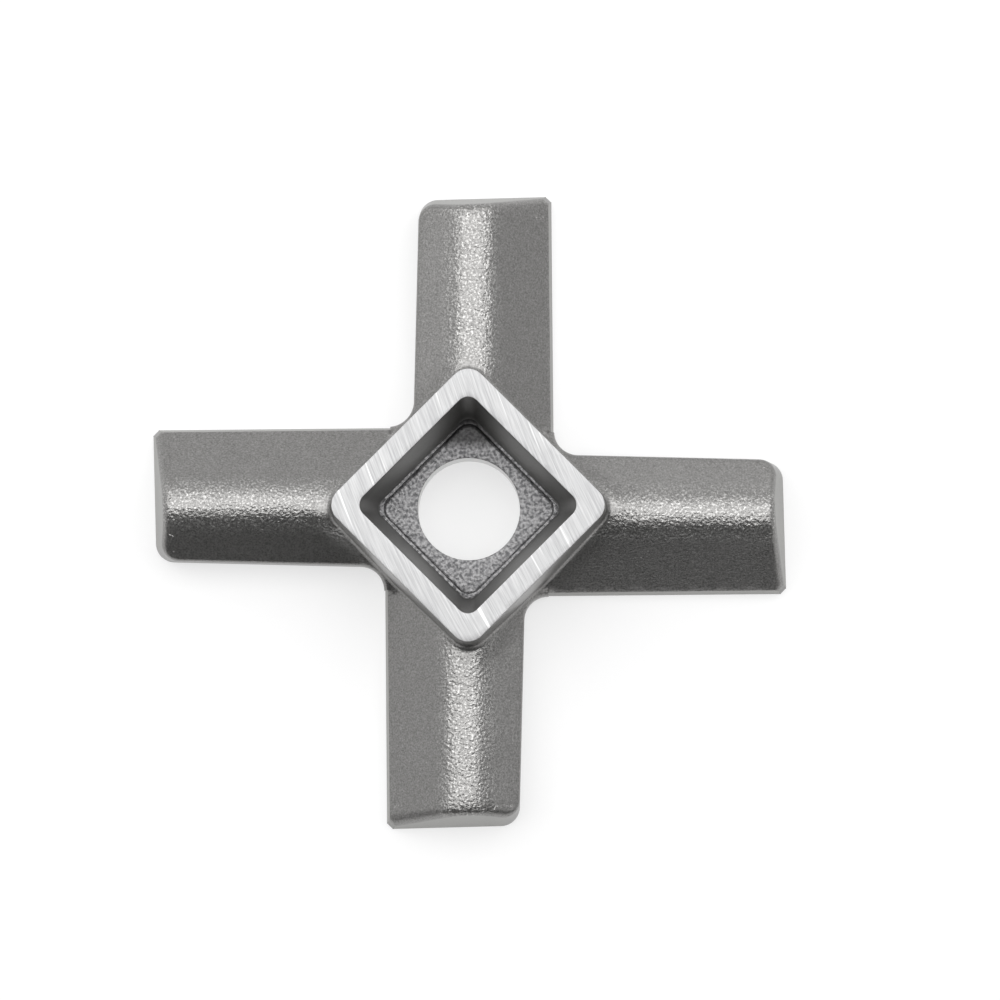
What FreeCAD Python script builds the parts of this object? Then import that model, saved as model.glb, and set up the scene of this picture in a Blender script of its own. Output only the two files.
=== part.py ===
"""Cross knife of a domestic meat grinder, one steel casting.

Four ridged arms carry one cutting edge each on the flat ground face at z = 0.
A square hub stands on them, turned by 45 degrees, with a tapered square socket
for the drive of the feed screw and a round pilot bore through the web below it.
The origin is the middle of the bore on the cutting face, and +Z points to the hub.
"""
import FreeCAD, Part
import math
import os

import Sketcher

# Driving dimensions in millimetres and degrees, each with what it measures.
SIZES = (
    ("span", 50.0, "across opposite arms, cutting corner to cutting corner"),
    ("cut_side", 6.7, "arm axis to the cutting edge at the root"),
    ("back_side", 4.34, "arm axis to the trailing side at the root"),
    ("cut_taper", 0.5, "angle by which the cutting edge closes in towards the tip"),
    ("back_taper", 1.4, "angle by which the trailing side closes in towards the tip"),
    ("ridge_height", 5.5, "cutting face to the top of an arm"),
    ("crown", 3.1, "radius of the round ridge along the top of an arm"),
    ("land_height", 0.88, "cutting face to the foot of the cutting slope, at the cutting edge"),
    ("rim_height", 2.94, "cutting face to the foot of the trailing slope, at the root"),
    ("land_lean", 11.0, "angle by which the ground land leans back from upright"),
    ("end_lean", 10.0, "angle by which an arm's ground end leans back from upright"),
    ("end_slant", 1.5, "angle of an arm's end in plan, longest at the cutting edge"),
    ("tip_chamfer", 0.45, "corner taken off where the cutting edge meets the end"),
    ("tip_round", 1.5, "upright corner where the trailing side meets the end"),
    ("rim_round", 0.5, "rim of an arm's top, along the trailing side and the end"),
    ("root_round", 1.9, "inner corner between two arms, in plan"),
    ("hub_height", 11.0, "cutting face to the ground top of the hub"),
    ("hub_flats", 15.75, "across the flats of the hub at its top"),
    ("hub_lean", 2.0, "draft of the hub's sides"),
    ("hub_corner", 1.45, "upright corners of the hub"),
    ("hub_cove", 0.6, "fillet between the hub and the arms"),
    ("mouth_flats", 12.35, "across the flats of the socket at its mouth"),
    ("mouth_corner", 0.95, "corners of the socket at its mouth"),
    ("seat_flats", 10.45, "across the flats of the socket at its ledge"),
    ("seat_corner", 0.9, "corners of the socket at its ledge"),
    ("seat_height", 5.3, "cutting face to the ledge at the foot of the socket"),
    ("relief_flats", 10.0, "across the flats of the relief below the ledge"),
    ("relief_corner", 1.1, "corners of the relief"),
    ("relief_cove", 0.3, "fillet round the floor of the relief"),
    ("relief_depth", 0.7, "ledge to the floor of the relief"),
    ("bore", 8.0, "diameter of the pilot bore"),
)
ARMS = 4
# How far a cutting tool's outline runs past the metal that it takes away.
CLEAR = 2.0

doc = FreeCAD.newDocument("cross_knife")
sheet = doc.addObject("Spreadsheet::Sheet", "sizes")
for row, (name, number, meaning) in enumerate(SIZES, start=1):
    sheet.set("A%d" % row, meaning)
    sheet.set("B%d" % row, str(number))
    sheet.setAlias("B%d" % row, name)
sheet.set("A%d" % (len(SIZES) + 1), "run of a cutting tool past the metal")
sheet.set("B%d" % (len(SIZES) + 1), str(CLEAR))
sheet.setAlias("B%d" % (len(SIZES) + 1), "clear_run")
doc.recompute()

body = doc.addObject("PartDesign::Body", "knife_body")
body.Label = "cross_knife"


def evaluate(expression):
    """The number that an expression on the sheet gives."""
    quantity = sheet.evalExpression(expression)
    return float(getattr(quantity, "Value", quantity))


def origin_part(role):
    """One of the body's own planes or axes."""
    return [part for part in body.Origin.OriginFeatures if part.Role == role][0]


def new_sketch(name, role, shift=(None, None, None), turn=None):
    """A sketch on an origin plane, shifted along that plane's own axes.

    A turn is an axis in that frame and an expression for its angle.
    """
    sketch = body.newObject("Sketcher::SketchObject", name)
    sketch.AttachmentSupport = [(origin_part(role), "")]
    sketch.MapMode = "FlatFace"
    if turn is not None:
        axis, angle = turn
        sketch.AttachmentOffset = FreeCAD.Placement(
            FreeCAD.Vector(), FreeCAD.Rotation(FreeCAD.Vector(*axis), 1.0))
        sketch.setExpression("AttachmentOffset.Rotation.Angle", angle)
    for axis, distance in zip("xyz", shift):
        if distance is not None:
            sketch.setExpression("AttachmentOffset.Base." + axis, distance)
    doc.recompute()
    return sketch


def constrain(sketch, kind, places, expression):
    """Add a dimension whose value follows the sheet."""
    value = evaluate(expression)
    number = sketch.addConstraint(Sketcher.Constraint(kind, *places, value))
    sketch.setExpression("Constraints[%d]" % number, expression)


def polygon(sketch, corners):
    """Straight edges closed through corners, each a pair of sheet expressions."""
    points = [FreeCAD.Vector(evaluate(across), evaluate(up), 0) for across, up in corners]
    count = len(points)
    for index in range(count):
        sketch.addGeometry(Part.LineSegment(points[index], points[(index + 1) % count]))
    for index in range(count):
        following = (index + 1) % count
        sketch.addConstraint(Sketcher.Constraint("Coincident", index, 2, following, 1))
    for index, (across, up) in enumerate(corners):
        constrain(sketch, "DistanceX", (-1, 1, index, 1), across)
        constrain(sketch, "DistanceY", (-1, 1, index, 1), up)


def rounded_square(sketch, flats, corner):
    """A square about the sketch's origin, with four round corners."""
    half = evaluate(flats) / 2
    radius = evaluate(corner)
    reach = half - radius
    quarter = math.pi / 2
    for side in range(4):
        turn = FreeCAD.Rotation(FreeCAD.Vector(0, 0, 1), 90 * side)
        start = turn.multVec(FreeCAD.Vector(half, -reach, 0))
        end = turn.multVec(FreeCAD.Vector(half, reach, 0))
        centre = turn.multVec(FreeCAD.Vector(reach, reach, 0))
        circle = Part.Circle(centre, FreeCAD.Vector(0, 0, 1), radius)
        sketch.addGeometry(Part.LineSegment(start, end))
        sketch.addGeometry(Part.ArcOfCircle(circle, quarter * side, quarter * (side + 1)))
    for side in range(4):
        line = 2 * side
        arc = line + 1
        direction = ("Vertical", "Horizontal")[side % 2]
        sketch.addConstraint(Sketcher.Constraint("Tangent", line, 2, arc, 1))
        sketch.addConstraint(Sketcher.Constraint("Tangent", arc, 2, (line + 2) % 8, 1))
        sketch.addConstraint(Sketcher.Constraint(direction, line))
        if side:
            sketch.addConstraint(Sketcher.Constraint("Equal", 1, arc))
    constrain(sketch, "Radius", (1,), corner)
    constrain(sketch, "DistanceX", (-1, 1, 0, 1), "%s / 2" % flats)
    constrain(sketch, "DistanceY", (-1, 1, 2, 1), "%s / 2" % flats)
    constrain(sketch, "DistanceX", (-1, 1, 4, 1), "-%s / 2" % flats)
    constrain(sketch, "DistanceY", (-1, 1, 6, 1), "-%s / 2" % flats)


def pad(name, sketch, length, taper=None):
    """Raise a sketch into metal."""
    feature = body.newObject("PartDesign::Pad", name)
    feature.Profile = sketch
    feature.setExpression("Length", length)
    if taper is not None:
        feature.setExpression("TaperAngle", taper)
    doc.recompute()
    return feature


def pocket(name, sketch, length, both_ways=False, other_way=False):
    """Take away what a sketch sweeps, and make sure that it takes something."""
    before = body.Shape.Volume
    feature = body.newObject("PartDesign::Pocket", name)
    feature.Profile = sketch
    if both_ways:
        feature.SideType = "Symmetric"
    feature.Reversed = other_way
    feature.setExpression("Length", length)
    doc.recompute()
    if not feature.Shape.Volume < before - 1e-6:
        raise RuntimeError(name + " takes nothing away")
    return feature


def edges_where(shape, wanted):
    """Names of a shape's edges for which a test on the edge is true."""
    names = []
    for number, edge in enumerate(shape.Edges, start=1):
        if wanted(edge):
            names.append("Edge%d" % number)
    return names


def ends(edge):
    """The two end points of an edge."""
    return edge.Vertexes[0].Point, edge.Vertexes[-1].Point


def near(value, target, reach=0.02):
    """Whether two lengths agree."""
    return abs(value - target) < reach


def round_edges(name, radius, wanted):
    """Round the edges of the body that pass a test."""
    base = body.Tip
    names = edges_where(base.Shape, wanted)
    if not names:
        raise RuntimeError(name + " finds no edge")
    feature = body.newObject("PartDesign::Fillet", name)
    feature.Base = (base, names)
    feature.setExpression("Radius", radius)
    doc.recompute()
    return feature


def arm_blank():
    """The plan of one arm along +X, with the web to the next arm's cutting side."""
    sketch = new_sketch("arm_plan", "XY_Plane")
    inner = evaluate("sizes.root_round")
    cut = evaluate("sizes.cut_side")
    back = evaluate("sizes.back_side")
    tip = evaluate("sizes.span / 2 + sizes.clear_run")
    centre = FreeCAD.Vector(cut + inner, back + inner, 0)
    circle = Part.Circle(centre, FreeCAD.Vector(0, 0, 1), inner)
    points = [FreeCAD.Vector(*point, 0) for point in (
        (0, -cut), (tip, -cut), (tip, back), (cut + inner, back),
        (cut, back + inner), (0, back + inner))]
    sketch.addGeometry(Part.LineSegment(points[0], points[1]))
    sketch.addGeometry(Part.LineSegment(points[1], points[2]))
    sketch.addGeometry(Part.LineSegment(points[2], points[3]))
    sketch.addGeometry(Part.ArcOfCircle(circle, math.pi, 1.5 * math.pi))
    sketch.addGeometry(Part.LineSegment(points[4], points[5]))
    sketch.addGeometry(Part.LineSegment(points[5], points[0]))
    for first, second in ((0, 1), (1, 2), (4, 5), (5, 0)):
        sketch.addConstraint(Sketcher.Constraint("Coincident", first, 2, second, 1))
    sketch.addConstraint(Sketcher.Constraint("Tangent", 2, 2, 3, 2))
    sketch.addConstraint(Sketcher.Constraint("Coincident", 3, 1, 4, 1))
    sketch.addConstraint(Sketcher.Constraint("Horizontal", 0))
    sketch.addConstraint(Sketcher.Constraint("Vertical", 1))
    sketch.addConstraint(Sketcher.Constraint("Horizontal", 4))
    sketch.addConstraint(Sketcher.Constraint("PointOnObject", 0, 1, -2))
    sketch.addConstraint(Sketcher.Constraint("PointOnObject", 5, 1, -2))
    sketch.addConstraint(Sketcher.Constraint("Horizontal", 3, 1, 3, 3))
    constrain(sketch, "DistanceY", (-1, 1, 0, 1), "-sizes.cut_side")
    constrain(sketch, "DistanceX", (-1, 1, 1, 1), "sizes.span / 2 + sizes.clear_run")
    constrain(sketch, "DistanceX", (-1, 1, 3, 1), "sizes.cut_side")
    constrain(sketch, "Radius", (3,), "sizes.root_round")
    constrain(sketch, "DistanceY", (-1, 1, 2, 2), "sizes.back_side")
    constrain(sketch, "DistanceY", (2, 1, 2, 2),
              "(sizes.span / 2 + sizes.clear_run - sizes.cut_side - sizes.root_round)"
              " * tan(sizes.back_taper * 1 deg)")
    doc.recompute()
    return pad("arm_pad", sketch, "sizes.ridge_height")


def arm_top():
    """Shape an arm's top: two slopes that run into a round ridge.

    The section is cut all along from the middle of the knife.
    """
    sketch = new_sketch("top_section", "YZ_Plane")
    far = evaluate("sizes.cut_side + sizes.root_round + sizes.clear_run")
    high = evaluate("sizes.ridge_height + sizes.clear_run")
    radius = evaluate("sizes.crown")
    centre = FreeCAD.Vector(0, evaluate("sizes.ridge_height - sizes.crown"), 0)
    cut_foot = FreeCAD.Vector(-evaluate("sizes.cut_side"), evaluate("sizes.land_height"), 0)
    back_foot = FreeCAD.Vector(evaluate("sizes.back_side"), evaluate("sizes.rim_height"), 0)
    cut_lean = slope_angle(centre, radius, cut_foot)
    back_lean = slope_angle(centre, radius, back_foot)
    cut_touch = centre + FreeCAD.Vector(-math.sin(cut_lean), math.cos(cut_lean), 0) * radius
    back_touch = centre + FreeCAD.Vector(math.sin(back_lean), math.cos(back_lean), 0) * radius
    cut_low = FreeCAD.Vector(-far, cut_touch.y - (far + cut_touch.x) * math.tan(cut_lean), 0)
    back_low = FreeCAD.Vector(far, back_touch.y - (far - back_touch.x) * math.tan(back_lean), 0)
    circle = Part.Circle(centre, FreeCAD.Vector(0, 0, 1), radius)
    quarter = math.pi / 2
    sketch.addGeometry(Part.LineSegment(cut_low, cut_touch))
    sketch.addGeometry(Part.ArcOfCircle(circle, quarter - back_lean, quarter + cut_lean))
    sketch.addGeometry(Part.LineSegment(back_touch, back_low))
    sketch.addGeometry(Part.LineSegment(back_low, FreeCAD.Vector(far, high, 0)))
    sketch.addGeometry(Part.LineSegment(FreeCAD.Vector(far, high, 0),
                                        FreeCAD.Vector(-far, high, 0)))
    sketch.addGeometry(Part.LineSegment(FreeCAD.Vector(-far, high, 0), cut_low))
    sketch.addConstraint(Sketcher.Constraint("Tangent", 0, 2, 1, 2))
    sketch.addConstraint(Sketcher.Constraint("Tangent", 1, 1, 2, 1))
    for first, second in ((2, 3), (3, 4), (4, 5), (5, 0)):
        sketch.addConstraint(Sketcher.Constraint("Coincident", first, 2, second, 1))
    sketch.addConstraint(Sketcher.Constraint("Vertical", 3))
    sketch.addConstraint(Sketcher.Constraint("Horizontal", 4))
    sketch.addConstraint(Sketcher.Constraint("Vertical", 5))
    constrain(sketch, "Radius", (1,), "sizes.crown")
    sketch.addConstraint(Sketcher.Constraint("PointOnObject", 1, 3, -2))
    constrain(sketch, "DistanceY", (-1, 1, 1, 3), "sizes.ridge_height - sizes.crown")
    constrain(sketch, "DistanceX", (-1, 1, 4, 1),
              "sizes.cut_side + sizes.root_round + sizes.clear_run")
    constrain(sketch, "DistanceX", (-1, 1, 4, 2),
              "-(sizes.cut_side + sizes.root_round + sizes.clear_run)")
    constrain(sketch, "DistanceY", (-1, 1, 4, 1), "sizes.ridge_height + sizes.clear_run")
    slope_foot(sketch, 0, cut_foot, "-sizes.cut_side", "sizes.land_height")
    slope_foot(sketch, 2, back_foot, "sizes.back_side", "sizes.rim_height")
    doc.recompute()
    pocket("arm_top", sketch, "sizes.span / 2 + 2 * sizes.clear_run", other_way=True)


def slope_angle(centre, radius, foot):
    """Angle from the flat of a line that leaves a circle's top and falls to a foot."""
    across = abs(foot.x - centre.x)
    down = centre.y - foot.y
    reach = math.hypot(across, down)
    return math.atan2(down, across) + math.asin(radius / reach)


def slope_foot(sketch, line, place, across, up):
    """Make a line of a sketch pass through a point with two dimensions."""
    point = sketch.addGeometry(Part.Point(place), True)
    sketch.addConstraint(Sketcher.Constraint("PointOnObject", point, 1, line))
    constrain(sketch, "DistanceX", (-1, 1, point, 1), across)
    constrain(sketch, "DistanceY", (-1, 1, point, 1), up)


def cutting_land():
    """Grind the narrow land along the cutting edge, leaning and tapering."""
    sketch = new_sketch("land_section", "YZ_Plane",
                        shift=("-sizes.cut_side", None, None),
                        turn=((0, 1, 0), "sizes.cut_taper * 1 deg"))
    polygon(sketch, (
        ("-sizes.clear_run", "-sizes.clear_run"),
        ("-sizes.clear_run * tan(sizes.land_lean * 1 deg)", "-sizes.clear_run"),
        ("sizes.ridge_height * tan(sizes.land_lean * 1 deg)", "sizes.ridge_height"),
        ("-sizes.clear_run", "sizes.ridge_height")))
    doc.recompute()
    pocket("cutting_land", sketch, "sizes.span / 2 + 2 * sizes.clear_run", other_way=True)


def arm_end():
    """Grind the end of an arm, leaning inwards and slanted in plan."""
    sketch = new_sketch("end_section", "XZ_Plane",
                        shift=("sizes.span / 2", None,
                               "sizes.cut_side - sizes.span / 2 * tan(sizes.cut_taper * 1 deg)"),
                        turn=((0, 1, 0), "sizes.end_slant * 1 deg"))
    high = "(sizes.ridge_height + sizes.clear_run)"
    polygon(sketch, (
        ("sizes.clear_run * tan(sizes.end_lean * 1 deg)", "-sizes.clear_run"),
        ("3 * sizes.clear_run", "-sizes.clear_run"),
        ("3 * sizes.clear_run", high),
        ("-%s * tan(sizes.end_lean * 1 deg)" % high, high)))
    doc.recompute()
    pocket("arm_end", sketch, "4 * (sizes.cut_side + sizes.back_side)", both_ways=True)


def arm_corners():
    """Take off the cutting corner of an arm's end and round the trailing corner."""
    reach = evaluate("sizes.span / 2 - sizes.cut_side - sizes.back_side")

    def upright(edge):
        first, second = ends(edge)
        return min(first.x, second.x) > reach and min(first.z, second.z) < 0.001 < abs(
            first.z - second.z)

    def cutting_corner(edge):
        return upright(edge) and ends(edge)[0].y < 0

    def trailing_corner(edge):
        return upright(edge) and ends(edge)[0].y > 0

    base = body.Tip
    chamfer = body.newObject("PartDesign::Chamfer", "cutting_corner")
    chamfer.Base = (base, edges_where(base.Shape, cutting_corner))
    chamfer.setExpression("Size", "sizes.tip_chamfer")
    doc.recompute()
    round_edges("trailing_corner", "sizes.tip_round", trailing_corner)


def four_arms():
    """Repeat the arm round the bore."""
    pattern = body.newObject("PartDesign::PolarPattern", "four_arms")
    pattern.TransformMode = "Whole shape"
    pattern.Axis = (origin_part("Z_Axis"), [""])
    pattern.Angle = 360
    pattern.Occurrences = ARMS
    body.Tip = pattern
    doc.recompute()


def hub():
    """Raise the drafted square hub, its corners over the arms."""
    sketch = new_sketch("hub_plan", "XY_Plane", turn=((0, 0, 1), "45 deg"))
    spread = "sizes.hub_height * tan(sizes.hub_lean * 1 deg)"
    rounded_square(sketch, "(sizes.hub_flats + 2 * %s)" % spread,
                   "(sizes.hub_corner + %s)" % spread)
    pad("hub", sketch, "sizes.hub_height", taper="-sizes.hub_lean")


def hub_cove():
    """Fillet the hub into the arms all round, where its walls meet their tops."""
    top = evaluate("sizes.hub_height")
    middle = evaluate("(sizes.hub_height + sizes.ridge_height) / 2")
    walls = [face for face in body.Tip.Shape.Faces
             if near(face.BoundBox.ZMax, top) and face.BoundBox.ZMin < middle]
    feet = [edge for wall in walls for edge in wall.Edges
            if max(point.z for point in ends(edge)) < middle]
    round_edges("hub_cove", "sizes.hub_cove",
                lambda edge: any(edge.isSame(foot) for foot in feet))


def rims():
    """Round the rim of each arm's top, along its trailing side and its end."""
    reach = evaluate("sizes.span / 2 - sizes.cut_side - sizes.back_side")
    end_run = evaluate("sizes.ridge_height * tan(sizes.end_lean * 1 deg)"
                       " + 2 * sizes.cut_side * tan(sizes.end_slant * 1 deg)"
                       " + sizes.tip_chamfer")
    tip = evaluate("sizes.span / 2")
    land = evaluate("sizes.land_height")
    back = evaluate("sizes.back_side")

    def along_arm(edge, arm):
        turn = FreeCAD.Rotation(FreeCAD.Vector(0, 0, 1), -360 * arm / ARMS)
        return [turn.multVec(point) for point in ends(edge)]

    def foot(first, second):
        return (abs(first.x - second.x) > reach / 2 and min(first.x, second.x) > 0
                and min(first.y, second.y) > back / 2 and min(first.z, second.z) > land)

    def end(first, second):
        return (min(first.x, second.x) > tip - end_run and abs(first.x - second.x) < end_run
                and min(first.z, second.z) > land + evaluate("sizes.tip_chamfer") / 2)

    def rim(edge):
        pairs = [along_arm(edge, arm) for arm in range(ARMS)]
        return any(foot(*pair) or end(*pair) for pair in pairs)

    round_edges("rims", "sizes.rim_round", rim)


def socket():
    """Sink the tapered square socket, and the relief that its ledge borders."""
    turn = ((0, 0, 1), "45 deg")
    mouth = new_sketch("socket_mouth", "XY_Plane",
                       shift=(None, None, "sizes.hub_height"), turn=turn)
    rounded_square(mouth, "sizes.mouth_flats", "sizes.mouth_corner")
    seat = new_sketch("socket_seat", "XY_Plane",
                      shift=(None, None, "sizes.seat_height"), turn=turn)
    rounded_square(seat, "sizes.seat_flats", "sizes.seat_corner")
    doc.recompute()
    loft = body.newObject("PartDesign::SubtractiveLoft", "socket")
    loft.Profile = mouth
    loft.Sections = [seat]
    loft.Ruled = True
    doc.recompute()
    relief = new_sketch("relief_plan", "XY_Plane",
                        shift=(None, None, "sizes.seat_height - sizes.relief_depth"),
                        turn=turn)
    rounded_square(relief, "sizes.relief_flats", "sizes.relief_corner")
    doc.recompute()
    pocket("relief", relief, "sizes.relief_depth", other_way=True)
    floor = evaluate("sizes.seat_height - sizes.relief_depth")
    round_edges("relief_cove", "sizes.relief_cove",
                lambda edge: all(near(point.z, floor) for point in ends(edge)))


def pilot_bore():
    """Bore the web through for the pilot pin."""
    sketch = new_sketch("bore_plan", "XY_Plane",
                        shift=(None, None, "sizes.seat_height"))
    sketch.addGeometry(Part.Circle(FreeCAD.Vector(), FreeCAD.Vector(0, 0, 1),
                                   evaluate("sizes.bore / 2")))
    sketch.addConstraint(Sketcher.Constraint("Coincident", 0, 3, -1, 1))
    constrain(sketch, "Diameter", (0,), "sizes.bore")
    doc.recompute()
    pocket("pilot_bore", sketch, "sizes.seat_height + sizes.clear_run")


def check_and_write():
    """Refuse a failed feature or a broken solid, then write the node's file."""
    doc.recompute()
    for item in doc.Objects:
        for word in ("Invalid", "Error"):
            if word in item.State:
                raise RuntimeError(item.Name + " is " + word)
    shape = body.Shape
    if shape.isNull() or not shape.isValid() or len(shape.Solids) != 1:
        raise RuntimeError("the knife is not one valid solid")
    os.makedirs("parts", exist_ok=True)
    shape.exportStep("parts/%s.step" % body.Label)
    print("%s: %.1f cubic mm" % (body.Label, shape.Volume))


arm_blank()
arm_top()
cutting_land()
arm_end()
arm_corners()
four_arms()
hub()
hub_cove()
rims()
socket()
pilot_bore()
check_and_write()
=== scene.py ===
"""Looks of the cross knife: a shot-blasted steel casting, ground in a few places."""

import math

import bmesh
import bpy
from mathutils import Matrix, Vector, noise


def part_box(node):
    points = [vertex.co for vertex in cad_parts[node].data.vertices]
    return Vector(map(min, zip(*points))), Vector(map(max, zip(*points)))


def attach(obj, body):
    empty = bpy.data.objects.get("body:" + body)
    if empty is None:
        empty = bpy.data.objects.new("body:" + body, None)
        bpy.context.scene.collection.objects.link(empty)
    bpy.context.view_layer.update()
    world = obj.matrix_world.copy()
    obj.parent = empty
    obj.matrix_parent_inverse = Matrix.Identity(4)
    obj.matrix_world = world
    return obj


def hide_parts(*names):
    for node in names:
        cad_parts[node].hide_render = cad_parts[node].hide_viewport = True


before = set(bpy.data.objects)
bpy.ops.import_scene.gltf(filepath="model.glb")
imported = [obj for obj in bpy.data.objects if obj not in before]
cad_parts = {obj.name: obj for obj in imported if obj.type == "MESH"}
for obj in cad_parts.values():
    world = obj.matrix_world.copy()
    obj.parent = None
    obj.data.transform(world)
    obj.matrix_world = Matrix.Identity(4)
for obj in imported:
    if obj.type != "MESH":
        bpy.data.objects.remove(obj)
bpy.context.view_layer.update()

MM = 0.001
NODE = "cross_knife"
ARMS = 4
ARM_TURN = math.tau / ARMS

# The model's own sizes, in metres. The flats of the socket are measured from the bore's axis.
LOW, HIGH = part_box(NODE)
HALF_SPAN = (HIGH.x - LOW.x) / 2
HUB_TOP = HIGH.z
CUT_SIDE = 6.7 * MM
BACK_SIDE = 4.34 * MM
RIDGE_TOP = 5.5 * MM
LAND_HEIGHT = 0.88 * MM
RIM_HEIGHT = 2.94 * MM
HUB_CORNER = 11.1 * MM
MODEL_CROWN = 3.1 * MM
END_LEAN = math.tan(math.radians(10))
BORE_RADIUS = 4.0 * MM
SOCKET_MOUTH = 6.175 * MM
SOCKET_FOOT = 5.2 * MM

# The casting's ridge is a little sharper than the model's and lies nearer the cutting edge.
CAST_CROWN = 2.65 * MM
CAST_SHIFT = 0.32 * MM
# Its arms fall off in a short curve before they meet their ground ends.
END_ROUND = 1.0 * MM
END_FALL = 0.36 / MM
# Its skin is uneven in two sizes of wave: share of the height, length, and start in the noise.
WAVES = ((0.006, 3.5 * MM, Vector((0, 0, 0))), (0.0025, 0.9 * MM, Vector((7, 3, 5))))
# How far past the hub's corner the arms begin to differ from the model, and differ in full.
SKIN_START = 0.6 * MM
SKIN_FULL = 2.4 * MM

# How much is taken off the sharp edges, at the cutting face and elsewhere.
FOOT_BREAK = 0.02 * MM
EDGE_BREAK = 0.045 * MM
FOOT_LEVEL = 0.03 * MM
BROKEN_ANGLE = math.radians(28)
SHARP_ANGLE = math.radians(38)
# How long the mesh's edges may be, and how the last of each arm is divided further.
LONGEST_EDGE = 0.9 * MM
END_EDGES = (0.3 * MM, 0.2 * MM)
END_ZONE = 1.9 * MM
END_ZONE_FOOT = 0.6 * MM

# The wheel that ground the hub's top: how far its axle stood away, and in which direction.
HUB_WHEEL = 100 * MM
HUB_LINES_TURN = math.radians(24)
# How much of the ridges' coarse grain and painted glints is left on the slopes and the hub.
SLOPE_SHARE = 0.18
# How much of the floor's look is plain white, so that its shadows stay light.
FLOOR_WHITE = 0.6

FINISHES = ("blasted", "ground_top", "ground_face", "ground_edge", "socket_wall",
            "socket_floor")

# The photograph's view: pixels and millimetres on the plane of the cutting face.
VIEW_PIXELS = 1000
PIXELS_PER_MM = 12.66
MIDDLE_PIXEL = (469.45, 512.1)
VIEW_DISTANCE = 430 * MM
LEAN_BACK = math.radians(2.9)
LEAN_RIGHT = math.radians(0.6)
SENSOR = 36.0


def arm_axes(place):
    """Unit vectors along and across the arm whose quarter holds a place."""
    turns = round(math.atan2(place.y, place.x) / ARM_TURN)
    turn = Matrix.Rotation(turns * ARM_TURN, 3, "Z")
    return turn @ Vector((1, 0, 0)), turn @ Vector((0, 1, 0))


def finish_of(place, normal):
    """Which finish the casting has at a place with a normal."""
    along, across = arm_axes(place)
    flat = Vector((place.x, place.y, 0))
    turned = Matrix.Rotation(-ARM_TURN / 2, 3, "Z") @ flat
    from_axis = max(abs(turned.x), abs(turned.y))
    if normal.z < -0.9:
        return "ground_face"
    if normal.z > 0.98 and place.z > HUB_TOP - 0.02 * MM:
        return "ground_top"
    if flat.length < BORE_RADIUS + 0.02 * MM and abs(normal.z) < 0.1:
        return "ground_face"
    if from_axis < SOCKET_MOUTH + 0.1 * MM and normal.z < 0.6 and place.z > SOCKET_FOOT:
        return "socket_wall"
    if from_axis < SOCKET_MOUTH and place.z < SOCKET_FOOT + 0.2 * MM:
        return "socket_floor"
    if flat.dot(along) > HALF_SPAN - 1.6 * MM and normal.dot(along) > 0.95:
        return "ground_edge"
    if flat.dot(across) < -CUT_SIDE + 0.8 * MM and normal.dot(across) < -0.95:
        return "ground_edge"
    return "blasted"


def merged_copy():
    """A bmesh of the knife with its loose triangles joined and its flats made whole."""
    mesh = bmesh.new()
    mesh.from_mesh(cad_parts[NODE].data)
    bmesh.ops.remove_doubles(mesh, verts=mesh.verts, dist=0.001 * MM)
    bmesh.ops.dissolve_limit(mesh, angle_limit=math.radians(0.3), verts=mesh.verts,
                             edges=mesh.edges)
    mesh.normal_update()
    for face in mesh.faces:
        finish = finish_of(face.calc_center_median(), face.normal)
        face.material_index = FINISHES.index(finish)
    return mesh


def break_edges(mesh):
    """Take the sharpness off the convex edges, less along the cutting face."""
    for foot, width in ((True, FOOT_BREAK), (False, EDGE_BREAK)):
        sharp = []
        for edge in mesh.edges:
            if not edge.is_manifold or not edge.is_convex:
                continue
            at_foot = max(vert.co.z for vert in edge.verts) < FOOT_LEVEL
            if at_foot == foot and edge.calc_face_angle() > BROKEN_ANGLE:
                sharp.append(edge)
        bmesh.ops.bevel(mesh, geom=sharp, offset=width, offset_type="OFFSET", segments=2,
                        profile=0.5, affect="EDGES", clamp_overlap=False, material=-1)


def divide(mesh, edges):
    """Divide some edges in two and join the new corners into triangles."""
    bmesh.ops.subdivide_edges(mesh, edges=edges, cuts=1, use_grid_fill=False)
    bmesh.ops.triangulate(mesh, faces=mesh.faces, quad_method="SHORT_EDGE",
                          ngon_method="BEAUTY")


def near_an_end(edge):
    """Whether an edge lies where the arms fall off towards their ends."""
    middle = (edge.verts[0].co + edge.verts[1].co) / 2
    return max(abs(middle.x), abs(middle.y)) > HALF_SPAN - END_ZONE and middle.z > END_ZONE_FOOT


def even_triangles(mesh):
    """Divide the mesh until it has no long edge, and the arms' ends further."""
    bmesh.ops.triangulate(mesh, faces=mesh.faces, quad_method="BEAUTY", ngon_method="BEAUTY")
    while True:
        long_edges = [edge for edge in mesh.edges if edge.calc_length() > LONGEST_EDGE]
        if not long_edges:
            break
        divide(mesh, long_edges)
    for length in END_EDGES:
        divide(mesh, [edge for edge in mesh.edges
                      if edge.calc_length() > length and near_an_end(edge)])


def section_height(across, radius, shift):
    """Height of an arm's top: two slopes from their feet into a round ridge."""
    middle = Vector((-shift, RIDGE_TOP - radius))
    feet = ((-1, Vector((-CUT_SIDE, LAND_HEIGHT))), (1, Vector((BACK_SIDE, RIM_HEIGHT))))
    for side, foot in feet:
        reach = abs(foot.x - middle.x)
        drop = middle.y - foot.y
        lean = math.atan2(drop, reach) + math.asin(radius / math.hypot(reach, drop))
        touch = middle + Vector((side * math.sin(lean), math.cos(lean))) * radius
        beyond = side * (across - touch.x)
        if beyond > 0:
            return touch.y - beyond * math.tan(lean)
    return middle.y + math.sqrt(radius ** 2 - (across - middle.x) ** 2)


def smooth_step(value, low, high):
    """0 below a low value, 1 above a high one and smooth between."""
    part = min(max((value - low) / (high - low), 0.0), 1.0)
    return part * part * (3 - 2 * part)


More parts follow.
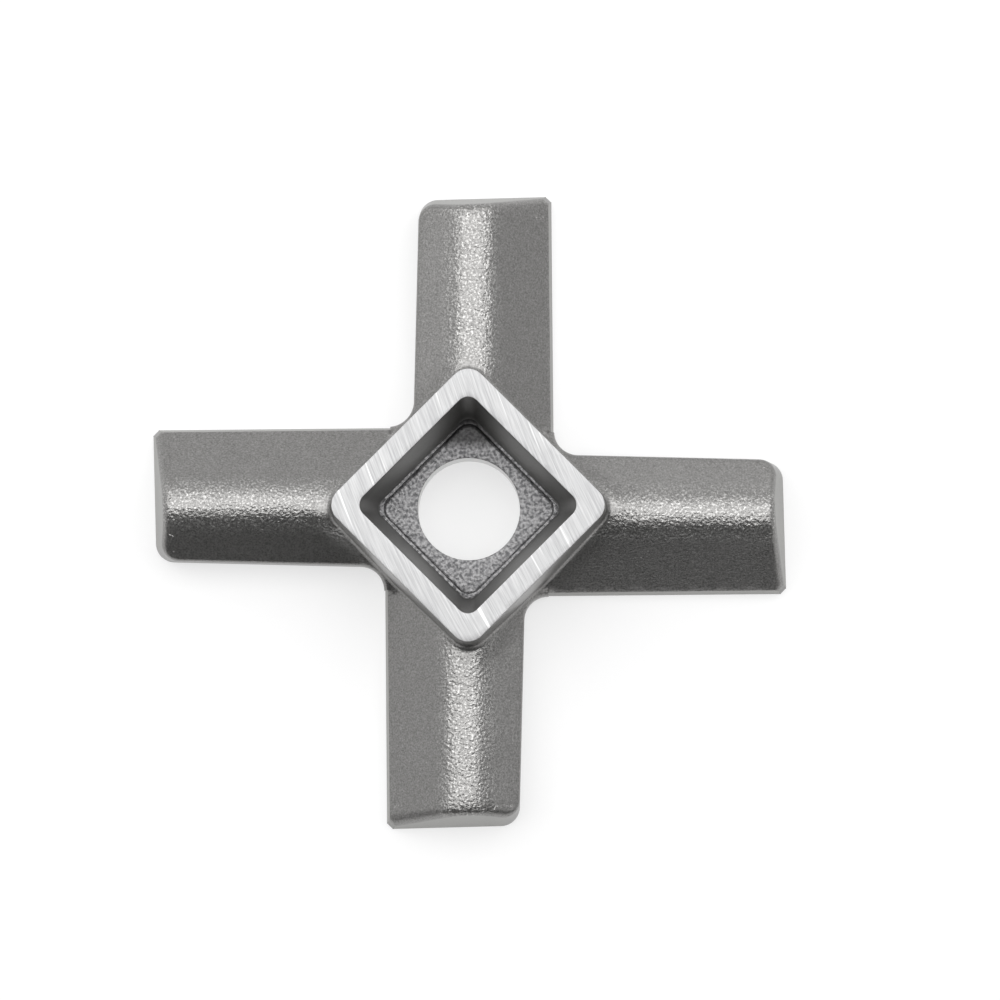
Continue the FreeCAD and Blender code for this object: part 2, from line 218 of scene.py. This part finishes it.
def cast_skin(mesh):
    """Give the arms the heights that a mould leaves: uneven, with the ridge to one side.

    Each place keeps its plan, so edges and ground faces stay whole.
    """
    for vert in mesh.verts:
        along, across = arm_axes(vert.co)
        flat = Vector((vert.co.x, vert.co.y, 0))
        reach = flat.dot(along)
        aside = flat.dot(across)
        beyond_hub = smooth_step(reach + abs(aside), HUB_CORNER + SKIN_START,
                                 HUB_CORNER + SKIN_FULL)
        settled = section_height(aside, CAST_CROWN, CAST_SHIFT)
        modelled = section_height(aside, MODEL_CROWN, 0.0)
        wave = sum(share * (1 + noise.noise(flat / length + start))
                   for share, length, start in WAVES)
        near_end = reach + vert.co.z * END_LEAN - HALF_SPAN + END_ROUND
        drop = END_FALL * max(near_end, 0.0) ** 2
        change = (settled - drop) / modelled - wave if modelled > 0 else 1.0
        vert.co.z *= 1 + (change - 1) * beyond_hub


def knife():
    """The knife's visible piece, which stands for its node."""
    mesh = merged_copy()
    break_edges(mesh)
    even_triangles(mesh)
    cast_skin(mesh)
    for face in mesh.faces:
        face.smooth = True
    data = bpy.data.meshes.new("cast_knife")
    mesh.to_mesh(data)
    mesh.free()
    data.set_sharp_from_angle(angle=SHARP_ANGLE)
    piece = bpy.data.objects.new("cast_knife", data)
    bpy.context.scene.collection.objects.link(piece)
    weighted = piece.modifiers.new("flat faces lead", "WEIGHTED_NORMAL")
    weighted.keep_sharp = True
    weighted.weight = 60
    return piece


class Nodes:
    """A material's node tree, with one short call for each node."""

    def __init__(self, name):
        self.material = bpy.data.materials.new(name)
        self.material.use_nodes = True
        self.tree = self.material.node_tree
        self.shader = self.tree.nodes["Principled BSDF"]
        self.place = self.add("ShaderNodeTexCoord").outputs["Object"]

    def add(self, kind, **settings):
        """A new node with some of its settings."""
        node = self.tree.nodes.new(kind)
        for name, value in settings.items():
            setattr(node, name, value)
        return node

    def join(self, source, target):
        """Link an output to an input, or set the input to a number or a colour."""
        if isinstance(source, bpy.types.NodeSocket):
            self.tree.links.new(source, target)
        else:
            target.default_value = source

    def turned(self, angle=0.0, scale=(1, 1, 1), place=None):
        """Object coordinates turned about the upright axis and scaled."""
        mapping = self.add("ShaderNodeMapping")
        mapping.inputs["Rotation"].default_value = (0, 0, angle)
        mapping.inputs["Scale"].default_value = scale
        self.join(place or self.place, mapping.inputs["Vector"])
        return mapping.outputs["Vector"]

    def parts(self, place=None):
        """The three coordinates of a place, by letter."""
        node = self.add("ShaderNodeSeparateXYZ")
        self.join(place or self.place, node.inputs["Vector"])
        return node.outputs

    def arcs(self, radius, turn):
        """Coordinates across and along arcs of a wheel that stands far to one side."""
        centre = (radius * math.cos(turn), radius * math.sin(turn), 0)
        shifted = self.add("ShaderNodeVectorMath", operation="SUBTRACT")
        self.join(self.place, shifted.inputs[0])
        shifted.inputs[1].default_value = centre
        parts = self.parts(shifted.outputs["Vector"])
        flat = self.add("ShaderNodeCombineXYZ")
        self.join(parts["X"], flat.inputs["X"])
        self.join(parts["Y"], flat.inputs["Y"])
        reach = self.add("ShaderNodeVectorMath", operation="LENGTH")
        self.join(flat.outputs["Vector"], reach.inputs[0])
        angle = self.maths("ARCTAN2", parts["Y"], parts["X"])
        around = self.add("ShaderNodeCombineXYZ")
        self.join(reach.outputs["Value"], around.inputs["X"])
        self.join(self.maths("MULTIPLY", angle, radius), around.inputs["Y"])
        return around.outputs["Vector"]

    def squeezed(self, place, along):
        """Coordinates drawn out along their second axis."""
        return self.turned(0.0, (1, along, 1), place)

    def noise(self, size, detail=2.0, roughness=0.5, place=None):
        """Noise whose grains are about a given size in metres."""
        texture = self.add("ShaderNodeTexNoise")
        texture.inputs["Scale"].default_value = 1 / size
        texture.inputs["Detail"].default_value = detail
        texture.inputs["Roughness"].default_value = roughness
        self.join(place or self.place, texture.inputs["Vector"])
        return texture.outputs["Fac"]

    def spread(self, value, low, high, from_low=0.0, from_high=1.0):
        """A value taken from one range to another."""
        node = self.add("ShaderNodeMapRange")
        self.join(value, node.inputs["Value"])
        for name, number in (("From Min", from_low), ("From Max", from_high),
                             ("To Min", low), ("To Max", high)):
            node.inputs[name].default_value = number
        return node.outputs["Result"]

    def maths(self, operation, first, second=0.0):
        """A sum on one or two values."""
        node = self.add("ShaderNodeMath", operation=operation)
        self.join(first, node.inputs[0])
        self.join(second, node.inputs[1])
        return node.outputs["Value"]

    def blend(self, factor, first, second):
        """A colour between two colours."""
        node = self.add("ShaderNodeMix", data_type="RGBA")
        self.join(factor, node.inputs["Factor"])
        self.join(first, node.inputs["A"])
        self.join(second, node.inputs["B"])
        return node.outputs["Result"]

    def bump(self, height, depth, below=None):
        """Turn a height from 0 to 1 into a bump of a given depth in metres."""
        node = self.add("ShaderNodeBump")
        node.inputs["Strength"].default_value = 1.0
        node.inputs["Distance"].default_value = depth
        self.join(height, node.inputs["Height"])
        if below is not None:
            self.join(below, node.inputs["Normal"])
        return node.outputs["Normal"]

    def finish(self, colour, roughness, normal, metallic):
        """The material, with its shader's inputs set."""
        self.join(colour, self.shader.inputs["Base Color"])
        self.join(roughness, self.shader.inputs["Roughness"])
        self.join(normal, self.shader.inputs["Normal"])
        self.shader.inputs["Metallic"].default_value = metallic
        return self.material


def blasted_steel():
    """Grey as-cast steel with the fine dimples of shot blasting."""
    nodes = Nodes("blasted_steel")
    dimples = nodes.noise(0.24 * MM, detail=1.5)
    grit = nodes.noise(0.13 * MM, detail=1.5, roughness=0.6)
    cloud = nodes.noise(4.5 * MM, detail=3.0)
    speck = nodes.noise(0.3 * MM, detail=2.0)
    fleck = nodes.spread(nodes.noise(0.14 * MM, detail=2.0, roughness=0.65), 0.0, 1.0,
                         from_low=0.32, from_high=0.68)
    tone = nodes.maths("ADD", nodes.spread(cloud, 0.0, 0.15),
                       nodes.maths("ADD", nodes.spread(speck, 0.0, 0.15),
                                   nodes.maths("MULTIPLY", fleck, 0.7)))
    colour = nodes.blend(tone, (0.155, 0.153, 0.149, 1), (0.335, 0.330, 0.324, 1))
    roughness = nodes.spread(fleck, 0.30, 0.40)
    # The arms' ridges are the roughest of the casting's skin. They also carry painted glints:
    # bright flecks in their colour where the highlight falls.
    parts = nodes.parts()
    reach = nodes.maths("ADD", nodes.maths("ABSOLUTE", parts["X"]),
                        nodes.maths("ABSOLUTE", parts["Y"]))
    high = nodes.spread(parts["Z"], SLOPE_SHARE, 1.0, from_low=4.3 * MM, from_high=5.1 * MM)
    beyond_hub = nodes.spread(reach, SLOPE_SHARE, 1.0, from_low=HUB_CORNER + 0.2 * MM,
                              from_high=HUB_CORNER + 1.2 * MM)
    ridge = nodes.maths("MINIMUM", high, beyond_hub)
    # Painted glints: lighter flecks of colour, on the ridges only.
    painted_glint = nodes.spread(nodes.noise(0.17 * MM, detail=1.0), 0.0, 1.0,
                         from_low=0.50, from_high=0.72)
    colour = nodes.blend(nodes.maths("MULTIPLY", painted_glint, ridge), colour, (0.52, 0.515, 0.505, 1))
    relief = nodes.maths("MULTIPLY", nodes.maths("SUBTRACT", dimples, 0.5), ridge)
    normal = nodes.bump(relief, 0.085 * MM)
    normal = nodes.bump(grit, 0.012 * MM, below=normal)
    return nodes.finish(colour, roughness, normal, metallic=0.9)


def ground_top():
    """The hub's face with the close, slightly uneven lines of a grinding wheel."""
    nodes = Nodes("ground_top")
    curve = nodes.arcs(HUB_WHEEL, HUB_LINES_TURN)
    fine = nodes.noise(0.15 * MM, detail=3.0, roughness=0.8, place=nodes.squeezed(curve, 0.025))
    broad = nodes.noise(0.7 * MM, detail=2.0, place=nodes.squeezed(curve, 0.05))
    deep = nodes.noise(0.3 * MM, detail=0.0, place=nodes.squeezed(curve, 0.03))
    scratch = nodes.spread(deep, 0.0, 1.0, from_low=0.72, from_high=0.80)
    tone = nodes.maths("ADD", nodes.spread(fine, 0.0, 0.8, from_low=0.36, from_high=0.64),
                       nodes.spread(broad, 0.0, 0.2, from_low=0.3, from_high=0.7))
    colour = nodes.blend(tone, (0.35, 0.35, 0.355, 1), (0.56, 0.56, 0.56, 1))
    colour = nodes.blend(scratch, colour, (0.66, 0.66, 0.66, 1))
    roughness = nodes.spread(fine, 0.50, 0.62)
    normal = nodes.bump(fine, 0.012 * MM)
    return nodes.finish(colour, roughness, normal, metallic=1.0)


def ground_face():
    """The cutting face and the bore, ground and reamed."""
    nodes = Nodes("ground_face")
    fine = nodes.noise(0.1 * MM, detail=3.0, roughness=0.7,
                       place=nodes.turned(0.4, (1, 0.01, 1)))
    colour = nodes.blend(fine, (0.52, 0.52, 0.52, 1), (0.70, 0.70, 0.69, 1))
    roughness = nodes.spread(fine, 0.26, 0.40)
    normal = nodes.bump(fine, 0.003 * MM)
    return nodes.finish(colour, roughness, normal, metallic=1.0)


def ground_edge():
    """The narrow lands and the arms' ends, ground upright."""
    nodes = Nodes("ground_edge")
    fine = nodes.noise(0.09 * MM, detail=3.0, roughness=0.7,
                       place=nodes.turned(0.0, (1, 1, 0.02)))
    colour = nodes.blend(fine, (0.26, 0.26, 0.255, 1), (0.42, 0.415, 0.40, 1))
    roughness = nodes.spread(fine, 0.40, 0.52)
    normal = nodes.bump(fine, 0.004 * MM)
    return nodes.finish(colour, roughness, normal, metallic=0.95)


def socket_wall():
    """The socket's smooth dark walls."""
    nodes = Nodes("socket_wall")
    grit = nodes.noise(0.16 * MM, detail=2.0)
    cloud = nodes.noise(2.5 * MM, detail=2.0)
    colour = nodes.blend(cloud, (0.16, 0.158, 0.155, 1), (0.22, 0.217, 0.212, 1))
    roughness = nodes.spread(grit, 0.42, 0.55)
    normal = nodes.bump(grit, 0.006 * MM)
    return nodes.finish(colour, roughness, normal, metallic=0.8)


def socket_floor():
    """The rough, speckled floor and ledge at the socket's foot."""
    nodes = Nodes("socket_floor")
    grains = nodes.noise(0.24 * MM, detail=1.0)
    grit = nodes.noise(0.12 * MM, detail=1.0)
    tone = nodes.spread(grains, 0.0, 1.0, from_low=0.35, from_high=0.65)
    colour = nodes.blend(tone, (0.10, 0.10, 0.103, 1), (0.30, 0.297, 0.30, 1))
    # Painted shadow: the floor's corner towards +Y is darkened nearly to black, in place of the
    # shade that the socket's walls cast there.
    painted_shadow = nodes.spread(nodes.parts()["Y"], 0.0, 0.8, from_low=4.6 * MM, from_high=5.4 * MM)
    colour = nodes.blend(painted_shadow, colour, (0.035, 0.034, 0.034, 1))
    roughness = nodes.spread(grit, 0.38, 0.52)
    normal = nodes.bump(grains, 0.05 * MM)
    normal = nodes.bump(grit, 0.02 * MM, below=normal)
    return nodes.finish(colour, roughness, normal, metallic=0.8)


def floor():
    """A plain pale floor on which the knife lies."""
    nodes = Nodes("pale_floor")
    nodes.shader.inputs["Base Color"].default_value = (0.88, 0.88, 0.88, 1)
    nodes.shader.inputs["Roughness"].default_value = 0.8
    nodes.shader.inputs["Specular IOR Level"].default_value = 0.0
    rays = nodes.add("ShaderNodeLightPath").outputs
    seen = nodes.maths("MAXIMUM", rays["Is Camera Ray"], rays["Is Glossy Ray"])
    seen = nodes.maths("MAXIMUM", seen, rays["Is Transmission Ray"])
    white = nodes.add("ShaderNodeEmission")
    white.inputs["Strength"].default_value = 1.0
    mixed = nodes.add("ShaderNodeMixShader")
    nodes.join(nodes.maths("MULTIPLY", seen, FLOOR_WHITE), mixed.inputs["Fac"])
    nodes.join(nodes.shader.outputs["BSDF"], mixed.inputs[1])
    nodes.join(white.outputs["Emission"], mixed.inputs[2])
    nodes.join(mixed.outputs["Shader"], nodes.tree.nodes["Material Output"].inputs["Surface"])
    mesh = bmesh.new()
    bmesh.ops.create_grid(mesh, x_segments=1, y_segments=1, size=4.0)
    bmesh.ops.translate(mesh, verts=mesh.verts, vec=(0, 0, LOW.z - 0.01 * MM))
    data = bpy.data.meshes.new("floor")
    mesh.to_mesh(data)
    mesh.free()
    data.materials.append(nodes.material)
    piece = bpy.data.objects.new("floor", data)
    bpy.context.scene.collection.objects.link(piece)


def softbox(name, place, width, depth, strength):
    """A soft panel of light at a place, facing the middle of the knife."""
    data = bpy.data.lights.new(name, "AREA")
    data.shape = "RECTANGLE"
    data.size = width
    data.size_y = depth
    data.energy = strength
    box = bpy.data.objects.new(name, data)
    box.location = place
    box.rotation_euler = (-Vector(place)).to_track_quat("-Z", "Y").to_euler()
    bpy.context.scene.collection.objects.link(box)


def lights():
    """Soft light from above, most of it from behind the knife as the photograph sees it.

    Places and sizes are in metres, strengths in watts.
    """
    softbox("overhead", (0.0, 0.075, 0.42), 0.95, 0.44, 3.35)
    softbox("back", (0.0, 0.45, 0.24), 1.1, 0.40, 1.4)
    softbox("right", (0.42, 0.12, 0.22), 0.50, 0.40, 0.38)
    softbox("left", (-0.42, 0.12, 0.22), 0.50, 0.40, 0.56)
    world = bpy.data.worlds.new("studio")
    world.use_nodes = True
    background = world.node_tree.nodes["Background"]
    background.inputs["Color"].default_value = (1, 1, 1, 1)
    background.inputs["Strength"].default_value = 0.07
    bpy.context.scene.world = world


def camera():
    """The photograph's view, from nearly straight above."""
    data = bpy.data.cameras.new("view")
    data.sensor_width = SENSOR
    data.lens = PIXELS_PER_MM * VIEW_DISTANCE / MM * SENSOR / VIEW_PIXELS
    data.clip_start = 0.01
    data.clip_end = 20
    across = math.sin(LEAN_RIGHT)
    back = -math.sin(LEAN_BACK)
    place = Vector((across, back, math.sqrt(1 - across ** 2 - back ** 2))) * VIEW_DISTANCE
    middle = VIEW_PIXELS / 2
    target = Vector(((middle - MIDDLE_PIXEL[0]) / PIXELS_PER_MM,
                     (MIDDLE_PIXEL[1] - middle) / PIXELS_PER_MM, 0)) * MM
    view = bpy.data.objects.new("view", data)
    view.location = place
    towards = (place - target).normalized()
    right = Vector((0, 1, 0)).cross(towards).normalized()
    upward = towards.cross(right)
    view.rotation_euler = Matrix((right, upward, towards)).transposed().to_euler()
    bpy.context.scene.collection.objects.link(view)
    bpy.context.scene.camera = view


piece = knife()
makers = {"blasted": blasted_steel, "ground_top": ground_top, "ground_face": ground_face,
          "ground_edge": ground_edge, "socket_wall": socket_wall,
          "socket_floor": socket_floor}
for finish in FINISHES:
    piece.data.materials.append(makers[finish]())
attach(piece, "root")
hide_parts(NODE)

floor()
lights()
camera()
bpy.context.scene.view_settings.view_transform = "Standard"
